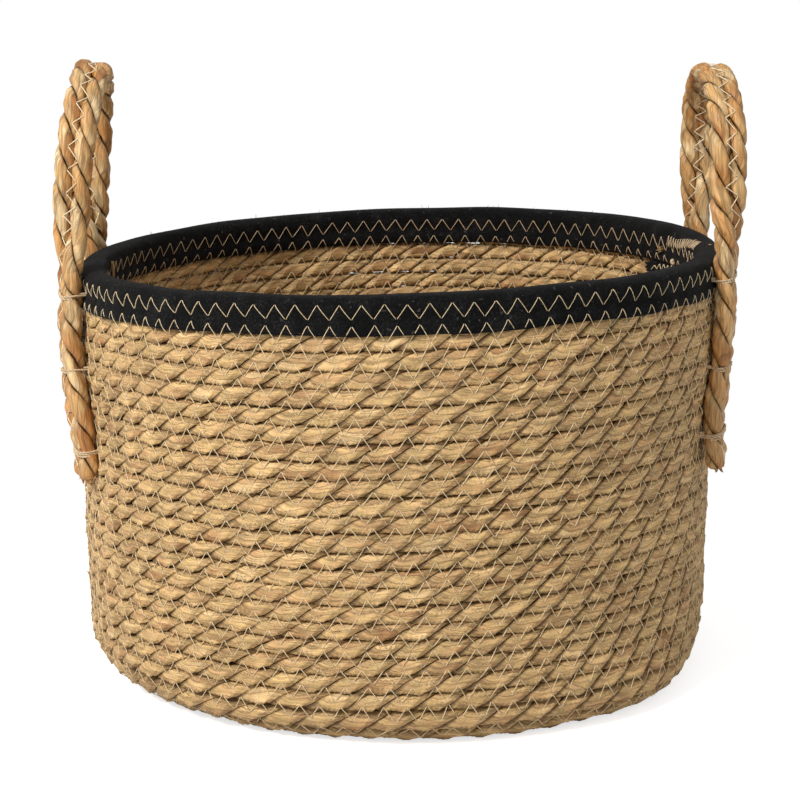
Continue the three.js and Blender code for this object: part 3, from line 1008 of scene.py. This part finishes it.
# The legs slant a little: below they stand further apart than at the rim. A form tells
#   turned: signs that turn a place at the right to the handle's side
#   end: the height of its legs' ends; lashings: the heights of their lashings
#   leg_low, leg_high: half the distance between the legs, near their ends and at the rim
#   stands: by height in metres, how many millimetres a leg stands off the wall
#   outer_short: how much shorter the outer rope is cut; thicker: how much thicker its ropes are on the wall
#   over_rim: share of the ropes' spacing by which the pair moves in or out as it passes the strip
#   swings, facings: for the back and front half, how far the arch swings out and how many degrees it turns
#   tilt: how much lower the arch's inner rope lies; pair_turns: the height where the pair starts to turn
#   lean, drop: how far the arch's top leans in, and how much lower it is than the highest
handle_forms = {
    "right": {
        "turned": np.array([1, 1, 1]),
        "end": handle_end - 2.2 * mm,
        "lashings": {"upper": 0.2112, "middle": 0.1661, "lower": 0.1313},
        "leg_low": leg_half + 1.5 * mm,
        "leg_high": leg_half - 2 * mm,
        "stands": {0.1: 4.6, 0.112: 4.4, 0.12: 3.6, 0.131: 1.8, 0.15: 1.0, 0.165: 0.8, 0.182: 1.5,
                   0.197: 2.2, 0.21: 2.9, 0.22: 2.6},
        "outer_short": 5 * mm,
        "over_rim": 0.5,
        "swings": (-0.3 * mm, 0.6 * mm),
        "facings": (0, 20),
        "tilt": 0,
        "thicker": 0,
        "pair_turns": rim_height + 5 * mm,
        "lean": 1.8 * mm,
        "drop": 1.9 * mm,
    },
    "left": {
        "turned": np.array([-1, -1, 1]),
        "end": handle_end - 2.5 * mm,
        "lashings": {"upper": 0.2095, "middle": 0.169, "lower": 0.1277},
        "leg_low": leg_half + 5 * mm,
        "leg_high": leg_half - 9 * mm,
        "stands": {0.1: -0.8, 0.124: -0.7, 0.14: 1.1, 0.16: 2.0, 0.182: 1.9, 0.197: 2.9, 0.212: 4.4,
                   0.22: 4.2},
        "outer_short": 0,
        "over_rim": 0.0,
        "swings": (-1.0 * mm, 2.1 * mm),
        "facings": (0, 0),
        "tilt": 0.25,
        "thicker": 0.1,
        "pair_turns": rim_height - 3 * mm,
        "lean": 10.3 * mm,
        "drop": 0,
    },
}


def half_handle(form, half):
    """One leg and half of the arch, at the right of the basket, on its back side."""
    arch_foot = handle_top - arch_rise
    top = handle_top - handle_radius - form["drop"]
    heights = np.arange(form["end"], arch_foot, leg_step)
    angles = np.linspace(0, math.pi / 2, arch_points)
    z = np.r_[heights, arch_foot + (top - arch_foot) * np.sin(angles)]
    gathered = smooth_share(heights, form["end"] + 10 * mm, binding_edge)
    leg_y = form["leg_low"] + (form["leg_high"] - form["leg_low"]) * gathered
    y = np.r_[leg_y, form["leg_high"] * np.cos(angles)]
    stand = leg_stand + off_table(form["stands"], heights)
    leg_x = np.sqrt(stand**2 - leg_y**2)
    x = np.r_[leg_x, np.full(arch_points, leg_x[-1])]
    outward = level_way(np.arctan2(np.r_[leg_y, np.full(arch_points, leg_y[-1])], x))
    # The way to the inner rope lies along the wall at first, and points inwards once the pair has turned
    across = smooth_share(z, form["pair_turns"], form["pair_turns"] + quarter_climb)[:, None]
    facing = math.radians(form["facings"][half])
    turned_in = np.array([-math.cos(facing), math.sin(facing), 0])
    inner = unit(np.cross(up, outward) * (1 - across) + turned_in * across)
    inner = unit(inner - up * form["tilt"] * smooth_share(z, arch_foot, top)[:, None])
    inward = -(inner * outward).sum(-1)
    above = smooth_share(z, swing_start, swing_full)
    # Both halves swing by the same amount where they meet
    middle_swing = sum(form["swings"]) / 2
    swing = middle_swing + (form["swings"][half] - middle_swing) * np.clip(y / form["leg_high"], 0, 1)
    over_rim = smooth_share(z, rim_height - 12 * mm, rim_height)
    x = x + form["over_rim"] * inward * pair_spacing / 2 * over_rim * (1 - above) + swing * above
    x = x - form["lean"] * np.clip((z - rim_height) / (handle_top - rim_height), 0, 1) ** 2
    return np.stack([x, y, z], -1), inner


def handle_route(side):
    """Places of the pair's middle from leg to leg, and the way from its outer to its inner rope."""
    form = handle_forms[side]
    back, back_inner = half_handle(form, 0)
    front, front_inner = half_handle(form, 1)
    flip = np.array([1, -1, 1])
    places = np.r_[back, front[-2::-1] * flip]
    inners = np.r_[back_inner, front_inner[-2::-1] * flip]
    return places * form["turned"], inners * form["turned"]


def line_frame(places, first):
    """Lengths along a line, and two directions square to it, the first one near `first`."""
    tangents = unit(np.gradient(places, axis=0))
    first = unit(first - tangents * (first * tangents).sum(-1, keepdims=True))
    return lengths_along(places), first, np.cross(first, tangents)


# %% The handles' ropes
def lashing_pinch(side, places):
    """Each lashing draws the ropes in."""
    pinch = np.ones(len(places))
    for height in handle_forms[side]["lashings"].values():
        pinch -= lashing_draw * np.exp(-(((places[:, 2] - height) / lashing_width) ** 2))
    return pinch


def handle_rope(side, rope, seed):
    places, inner = handle_route(side)
    sign = 1 if rope == "inner" else -1
    if rope == "outer":
        last = len(places) - round(handle_forms[side]["outer_short"] / leg_step)
        places, inner = places[:last], inner[:last]
    pinch = lashing_pinch(side, places)
    centres = places + inner * (sign * pair_spacing / 2 * pinch)[:, None]
    lengths, first, second = line_frame(centres, inner)
    sway = 0.25 * mm * wander(seed + 5, 0.03, 1)(lengths)
    lift = 0.4 * mm * wander(seed + 6, 0.035, 1)(lengths)
    centres = centres + first * sway[:, None] + second * lift[:, None]
    slip = 0.12 * wander(seed + 7, 0.07, 1)(lengths)
    twist = twist_hand * 2 * math.pi * (lengths / handle_lay + 0.13 * seed + slip)
    from_end = np.minimum(lengths, lengths[-1] - lengths)
    # The cut ends are a little slimmer, and rounded
    rounding = np.clip(1 - from_end / rounded_end, 0, 1)
    ends = (0.9 + 0.1 * smooth_share(from_end, 0, 0.014)) * np.sqrt(1.02 - rounding**2)
    on_wall = 1 - smooth_share(places[:, 2], rim_height - 10 * mm, rim_height + 10 * mm)
    thickness = rope_swell * (1 + handle_forms[side]["thicker"] * on_wall)
    sizes = thickness * (1 + 0.05 * wander(seed + 8, 0.03, 1)(lengths)) * pinch * ends
    name = f"{side}_{rope}_rope"
    profile = strand_profile(28, handle_radius, *handle_shares)
    route = (centres, first, second)
    mesh = bent_rope(name, profile, lengths, route, twist, sizes, handle_radius, handle_lay, seed,
                     strength=0.065, creases=4)
    return add_piece(name, mesh, golden_seagrass, [f"{side}_handle_{rope}_rope"])


handle_ropes = {
    side: [handle_rope(side, "outer", seed), handle_rope(side, "inner", seed + 2)]
    for side, seed in (("left", 71), ("right", 81))
}
print("handle rope faces:", [len(piece.data.polygons) for pair in handle_ropes.values() for piece in pair])


# %% Leaf tips at the ropes' cut ends
def leaf_tips(name, blades, width, thickness, material=golden_seagrass):
    """Short strips of leaf that narrow to a tip. Each blade is (root, way, curl, length, broad)."""
    rings, sides = 7, 8
    share = np.linspace(0, 1, rings)
    splines = []
    for root, way, curl, length, broad in blades:
        points = root + way * (share * length)[:, None] + curl * (share**2 * length)[:, None]
        splines.append((lean(points), 0, broad * (1 - 0.75 * share**2.5)))
    mesh = swept_mesh(name, splines, flat_profile(sides, width, thickness), twist_mode="MINIMUM")
    blade, ring, around = np.meshgrid(range(len(blades)), range(rings), range(sides), indexing="ij")
    angle = around * 2 * math.pi / sides
    run = ring * 1.5 * mm + blade * 0.37
    fibre = np.stack([0.002 * np.cos(angle), 0.002 * np.sin(angle), run], -1)
    # Painted shade at each blade's root, where it goes into the rope
    store_fibre(mesh, fibre, np.where(ring == 0, 0.5, 0.0))
    return add_piece(name, facing_out(mesh), material)


for side in handle_forms:
    places, inner = handle_route(side)
    random = np.random.default_rng(101 + len(side))
    blades = []
    for end, behind in ((0, 3), (-1, -4)):
        away = unit(places[end] - places[behind])
        face = unit(places[end] * np.array([1, 1, 0]))
        for k in range(12):
            rope_side = 1 if k % 2 else -1
            aside = rope_side * 0.5 * pair_spacing + random.normal(0, 1.3) * mm
            root = places[end] + inner[end] * aside
            root = root + face * random.normal(0, 1.3) * mm - away * 3.5 * mm
            way = unit(away + inner[end] * random.normal(0, 0.16) + face * random.normal(0, 0.14))
            curl = inner[end] * random.normal(0, 0.22) + face * random.uniform(-0.1, 0.3)
            length = random.uniform(4.5, 8.0 if side == "left" else 5.5) * mm
            blades.append((root, way, curl, length, random.uniform(0.7, 1.25)))
    # Where a rope is cut short, two of its leaves hang on
    if handle_forms[side]["outer_short"]:
        away = unit(places[-1] - places[-4])
        root = places[-1] - inner[-1] * pair_spacing * 0.72 - away * 9 * mm
        curl = inner[-1] * -0.06
        for shift, length in ((0, 12.5), (1.6, 9)):
            blades.append((root + inner[-1] * shift * mm, away, curl, length * mm, 1.0))
    leaf_tips(f"{side}_handle_leaf_tips", blades, 2.6 * mm, 0.9 * mm)

# %% [markdown]
# ## Handle seams and lashings
# A zigzag thread joins the two ropes of a handle on both faces. Each leg is tied to the wall at three
# heights: a two-ply thread goes through the wall, over both ropes and back, a few times round.

# %% Handle seams
handle_thread = 0.6 * mm


def handle_seam(side, face):
    places, inner = handle_route(side)
    lengths, first, second = line_frame(places, inner)
    surface = Surface(handle_ropes[side])

    def route(values):
        return [read_off(values, lengths, rows) for rows in (places, second, first)]

    # The face towards the wall is sewn only above the rim
    margin = 4 * mm
    outward = (second * places)[:10, :2].sum() * face > 0
    free = lengths[places[:, 2] > (handle_end if outward else rim_height) + margin]
    holes = zigzag_holes(free[0], free[-1], 10.4 * mm, 2.9 * mm, 90 + 2 * face + len(side))
    points = zigzag_thread(route, holes, surface, face, handle_thread, 0.8 * mm, 0.15 * mm)
    name = f"{side}_handle_seam_{'back' if face > 0 else 'front'}"
    return sewn_thread(name, points, handle_thread, pale_thread, 1)


for side in handle_forms:
    for face in (1, -1):
        handle_seam(side, face)


# %% Lashings
lash_thread = 1.25 * mm
lash_lay = 4 * mm
lash_slope = 1.2 * mm  # by so much each side of a lashing lies higher or lower than its middle


def lashing(side, leg, height_name, seed):
    """A thread wound round both ropes of a leg and through the wall."""
    random = np.random.default_rng(seed)
    places, inner = handle_route(side)
    _, first, second = line_frame(places, inner)
    height = handle_forms[side]["lashings"][height_name]
    # The line starts at the right handle's back leg, and at the left one's front leg
    half_way = len(places) // 2
    if (leg == "back") == (side == "right"):
        index = int(np.argmin(np.abs(places[:half_way, 2] - height)))
    else:
        index = half_way + int(np.argmin(np.abs(places[half_way:, 2] - height)))
    middle, across, face = places[index], first[index], second[index]
    # Turned so that one way leads out of the wall, and the other along it towards the handle's middle
    if (face * middle)[:2].sum() < 0:
        face = -face
    if across[1] * middle[1] > 0:
        across = -across
    pinch = lashing_pinch(side, places)[index]
    half = pair_spacing / 2 * pinch
    rope_reach = handle_radius * rope_swell * (1 + handle_forms[side]["thicker"]) * pinch
    reach = rope_reach * 0.97 + lash_thread * 0.45
    flat_out = unit(np.array([middle[0], middle[1], 0]))
    # Behind the strip the upper one is hidden, the others cross the rope on the inside of the wall
    inner_skin = 2 * wall_centre - outer_radius + (1 if height > binding_edge else -0.3) * lash_thread
    depth = inner_skin - np.linalg.norm(middle[:2])
    windings = {"upper": 2.0, "middle": 2.0, "lower": 3.0}[height_name]
    # Round the pair, then through the wall and across behind it, as distances along the wall and out of
    # it. It rises towards the handle's middle
    quarter = np.linspace(0, math.pi / 2, 6)
    ring = [(-half - reach * np.cos(a), reach * np.sin(a)) for a in quarter]
    ring += [(half + reach * np.sin(a), reach * np.cos(a)) for a in quarter]
    ring += [(half + reach * 0.75, -reach * 0.7), (half + reach * 0.4, depth), (0, depth - 0.6 * mm)]
    ring += [(-half - reach * 0.4, depth), (-half - reach * 0.75, -reach * 0.7)]
    points = []
    for k in range(round(len(ring) * windings)):
        u, v = ring[k % len(ring)]
        turn = k / len(ring)
        rise = (turn - windings / 2) * lash_thread * 0.85 + random.normal(0, 0.12) * mm
        rise += lash_slope * u / (half + reach)
        outwards = face * v if v > 0 else flat_out * v
        points.append(middle + across * u + outwards + up * rise)
    marks = lengths_along(points)
    fine_marks = np.arange(0, marks[-1], 0.8 * mm)
    fine = read_off(fine_marks, marks, np.array(points))
    name = f"{side}_{leg}_{height_name}_lashing"
    ply = (lean(fine), fine_marks * 2 * math.pi / lash_lay, 1)
    mesh = swept_mesh(name + "_thread", [ply], strand_profile(6, lash_thread / 2), twist_mode="MINIMUM")
    return add_piece(name + "_thread", facing_out(mesh), lashing_thread, [name])


seed = 300
for side in handle_forms:
    for leg in ("front", "back"):
        for height_name in ("upper", "middle", "lower"):
            lashing(side, leg, height_name, seed)
            seed += 1

# %% [markdown]
# ## The strip's join
# The strip's two ends meet inside, near the right handle. A bar of close stitches holds them, and one
# raw end runs on along the wall below the strip, caught by a few small stitches. The lashing's knots
# and a scrap of leaf show beside it.

# %% Bar of close stitches
def on_fold(azimuth, climb, lower=0.0):
    """Places on the strip's fold, and the ways out of it and up over it.

    A climb of 0 faces in and half a turn faces out. The inner edge of the fold can be made lower.
    """
    around = level_way(azimuth)
    c, s = np.cos(climb)[..., None], np.sin(climb)[..., None]
    height = fold_low + fold_height * s - lower * c
    return around * (wall_centre - binding_reach * c) + up * height, up * s - around * c, around * s + up * c


def join_bar_route(share):
    """From the inner face of the strip, at a share of 0, up to the top of its fold."""
    climb = np.radians(5 + 45 * smooth_share(share, 0.1, 1))
    return on_fold(np.radians(17 - 19.5 * share), climb, 1.6 * mm)


random = np.random.default_rng(207)
bar_holes = []
share = 0.0
while share < 1:
    high = 1 if len(bar_holes) % 2 else -1
    bar_holes.append((share, high * random.uniform(2.4, 3.1) * mm))
    share += random.uniform(0.028, 0.038)
points = zigzag_thread(join_bar_route, bar_holes, rim_surface, 1, rim_thread, 0.4 * mm, 0)
sewn_thread("join_bar_stitches", points, rim_thread, lashing_thread, 1)


# %% The strip's raw end, its small stitches, knots and scraps of leaf
def inside_wall(azimuth, height, stand):
    """Places inside the wall, by degrees, height and how far they stand off it, and the ways in."""
    around = level_way(np.radians(azimuth))
    radius, height = (np.asarray(value)[..., None] for value in (binding_inner - stand, height))
    return around * radius + up * height, -around


raw_rings, raw_sides = 48, 24
share = np.linspace(0, 1, raw_rings)
raw_stand = (0.4 - 1.9 * np.minimum(1, share * 3)) * mm
raw_end, raw_out = inside_wall(5 + 23 * share, 0.2025 - 0.007 * share, raw_stand)
straight = np.stack([share, 0 * share, 0 * share], -1)
fraying = 1 - 0.25 * smooth_share(share, 0.88, 1)
profile = flat_profile(raw_sides, 8 * mm, 1.3 * mm)
mesh = swept_mesh("strip_raw_end", [(straight, 0, fraying)], profile)
points = read_points(mesh).reshape(raw_rings, raw_sides, 3)
wide_axis = 1 if np.ptp(points[..., 1]) > np.ptp(points[..., 2]) else 2
wide, deep = points[..., wide_axis], points[..., 3 - wide_axis]
ripple = 0.5 * mm * wander(211, 0.05, 2)(share)[:, None]
edge_waver = 0.6 * mm * wander(212, 0.04, 2)(share)[:, None] * np.sign(wide)
tatter = 2.2 * mm * np.random.default_rng(213).uniform(-1, 1, raw_sides) * (share[:, None] > 0.99)
bent = raw_end[:, None] + raw_out[:, None] * (deep + ripple)[..., None] + up * (wide + edge_waver)[..., None]
bent = bent + unit(raw_end[-1] - raw_end[-2]) * tatter[..., None]
write_points(mesh, bent.reshape(-1, 3))
raw_strip = add_piece("strip_raw_end", facing_out(mesh), black_felt)


def raw_end_route(lengths):
    places, outs = (read_off(lengths, share, rows) for rows in (raw_end, raw_out))
    return places, outs, np.broadcast_to(up, places.shape)


random = np.random.default_rng(214)
raw_holes = []
for k in range(19):
    place = 0.12 + 0.042 * k + random.normal(0, 0.006)
    raw_holes.append((place, (1.6 if k % 2 else -1.6) * random.uniform(0.6, 1.2) * mm))
points = zigzag_thread(raw_end_route, raw_holes, Surface([raw_strip]), 1, seam_thread, 0.5 * mm, 0)
sewn_thread("raw_end_stitches", points, seam_thread, cream_thread, 1)


def knot(name, azimuth, height, size, thickness, seed):
    """A small tangle of thread: a few loops in turning planes."""
    angle = np.linspace(0, 7 * 2 * math.pi, 110)
    tumble = 0.37 * angle + np.random.default_rng(seed).uniform(0, 6)
    place, out = inside_wall(azimuth, height, size * 0.5)
    x, y, z = (np.cos(angle) * np.cos(tumble), np.cos(angle) * np.sin(tumble), 0.7 * np.sin(angle))
    line = place + size * (np.cross(up, out) * x[:, None] + up * y[:, None] + out * z[:, None])
    return sewn_thread(name, lean(line), thickness, lashing_thread, 1)


knot("upper_lashing_knot", 14.3, 0.2035, 1.5 * mm, 0.9 * mm, 221)
knot("join_knot", 3.5, 0.208, 0.8 * mm, 0.6 * mm, 222)


def scraps(name, azimuth, height, length, width, count, seed, sideways_share):
    """Ends of leaf that poke out of a lashing inside the wall."""
    random = np.random.default_rng(seed)
    place, out = inside_wall(azimuth, height, 0.4 * mm)
    sideways = np.cross(up, out)
    blades = []
    for _ in range(count):
        root = place + sideways * random.normal(0, 0.9) * mm + up * random.normal(0, 0.5) * mm
        way = sideways * (sideways_share + random.normal(0, 0.2)) - up * (1 - abs(sideways_share))
        way = unit(way + out * random.uniform(0.0, 0.15))
        curl = out * random.uniform(0, 0.12)
        blades.append((root, way, curl, length * random.uniform(0.75, 1), random.uniform(0.7, 1.1)))
    return leaf_tips(name, blades, width, 0.8 * mm, seagrass)


scraps("right_inside_leaf_ends", 19.6, 0.2085, 5 * mm, 2.4 * mm, 10, 231, -0.8)
scraps("left_inside_leaf_ends", 177, 0.2165, 11 * mm, 2.0 * mm, 2, 232, 0)

# %% A scrap of leaf on the fold, and fuzz on the felt
place, out, _ = on_fold(math.radians(-5), math.radians(100))
scrap = (place + out * 0.4 * mm, unit(np.cross(out, up)), out * 0.1, 3.2 * mm, 1)
leaf_tips("fold_leaf_scrap", [scrap], 1.8 * mm, 0.7 * mm)

random = np.random.default_rng(251)
fuzz = []
for _ in range(420):
    azimuth = random.uniform(-math.pi, math.pi)
    place, out, _ = on_fold(azimuth, math.radians(random.uniform(-5, 185)))
    way = unit(random.normal(0, 1, 3) + out * 0.4)
    fuzz.append((place - out * 0.2 * mm, way, out * random.uniform(-0.3, 0.4),
                 random.uniform(1, 2.6) * mm, random.uniform(0.6, 1.2)))
leaf_tips("felt_fuzz", fuzz, 0.3 * mm, 0.25 * mm, black_felt)

# %% [markdown]
# ## Loose grass
# Leaves end and start all along a rope, so slivers stand off its skin here and there, and a few
# fibres stick out. They are short narrow strips, laid along the rope with their tips lifted.

# %% Slivers and fibres
def slivers(name, count, lengths_mm, widths, lift, width, thickness, seed):
    random = np.random.default_rng(seed)
    start, end = length_at(floor_turns + 1), length_at(full_turns - 2)
    blades = []
    for _ in range(count):
        place, out, along = coil_route(turns_at(random.uniform(start, end)))
        forward = np.cross(out, along) * random.choice([-1, 1])
        angle = random.uniform(-1.0, 1.0)
        skin = out * math.cos(angle) + along * math.sin(angle)
        root = place + skin * (rope_radius - 0.3 * mm)
        way = unit(forward + along * random.normal(0, 0.25) + skin * 0.02)
        blades.append((root, way, skin * random.uniform(*lift), random.uniform(*lengths_mm) * mm,
                       random.uniform(*widths)))
    return leaf_tips(name, blades, width, thickness, seagrass)


slivers("loose_slivers", 260, (3, 8), (0.6, 1.2), (0.02, 0.22), 1.5 * mm, 0.35 * mm, 241)
slivers("loose_fibres", 260, (3, 9), (0.7, 1.0), (0.1, 0.8), 0.4 * mm, 0.3 * mm, 242)

# %% [markdown]
# ## Light and ground
# One soft lamp stands at the upper left in front, and the room fills the shadows: the right side gets
# about half the light of the left. The ground is white to the camera, apart from the basket's shadow.

# %% Lamp and room
lamp_data = bpy.data.lights.new("key", "AREA")
lamp_data.size = 0.7
lamp_data.energy = 49
lamp = into_scene("key", lamp_data)
lamp.location = (-1.2, -1.28, 1.75)
lamp_aim = Vector((0, 0, 0.12)) - lamp.location
lamp.rotation_euler = lamp_aim.to_track_quat("-Z", "Y").to_euler()

world = bpy.data.worlds.new("world")
bpy.context.scene.world = world
world.use_nodes = True
tree = world.node_tree
room = tree.nodes["Background"]
set_inputs(room, {"Color": (1, 1, 1, 1), "Strength": 0.58})
white = add_node(tree, "ShaderNodeBackground", {"Strength": 1.0, "Color": (1, 1, 1, 1)})
seen = add_node(tree, "ShaderNodeLightPath").outputs["Is Camera Ray"]
shown = mix_shaders(tree, seen, room.outputs[0], white.outputs[0])
tree.links.new(shown, tree.nodes["World Output"].inputs[0])
bpy.context.scene.view_settings.view_transform = "Standard"


# %% Ground
def white_glow(tree, strength):
    return add_node(tree, "ShaderNodeEmission", {"Strength": strength, "Color": (1, 1, 1, 1)}).outputs[0]


def ground_material():
    """Pale to the light; to the camera it is lifted to white, and keeps only the basket's shadow."""
    dull = {"Base Color": (0.75, 0.75, 0.75, 1), "Roughness": 1, "Specular IOR Level": 0}
    material, tree, pale = new_material("pale_ground", dull)
    place = add_node(tree, "ShaderNodeTexCoord")
    distance = add_node(tree, "ShaderNodeVectorMath", operation="LENGTH")
    tree.links.new(place.outputs["Object"], distance.inputs[0])
    far = range_node(tree, distance.outputs["Value"], 0.2, 0.42)
    lifted = add_node(tree, "ShaderNodeAddShader")
    tree.links.new(pale.outputs[0], lifted.inputs[0])
    tree.links.new(white_glow(tree, 0.69), lifted.inputs[1])
    shown = mix_shaders(tree, far, lifted.outputs[0], white_glow(tree, 1.0))
    seen = add_node(tree, "ShaderNodeLightPath").outputs["Is Camera Ray"]
    shown = mix_shaders(tree, seen, pale.outputs[0], shown)
    tree.links.new(shown, tree.nodes["Material Output"].inputs["Surface"])
    return material


bm = bmesh.new()
bmesh.ops.create_grid(bm, x_segments=1, y_segments=1, size=4)
ground_mesh = bpy.data.meshes.new("ground")
bm.to_mesh(ground_mesh)
bm.free()
ground = into_scene("ground", ground_mesh)
ground_mesh.materials.append(ground_material())
ground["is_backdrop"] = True

# %% Finish
low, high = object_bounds()
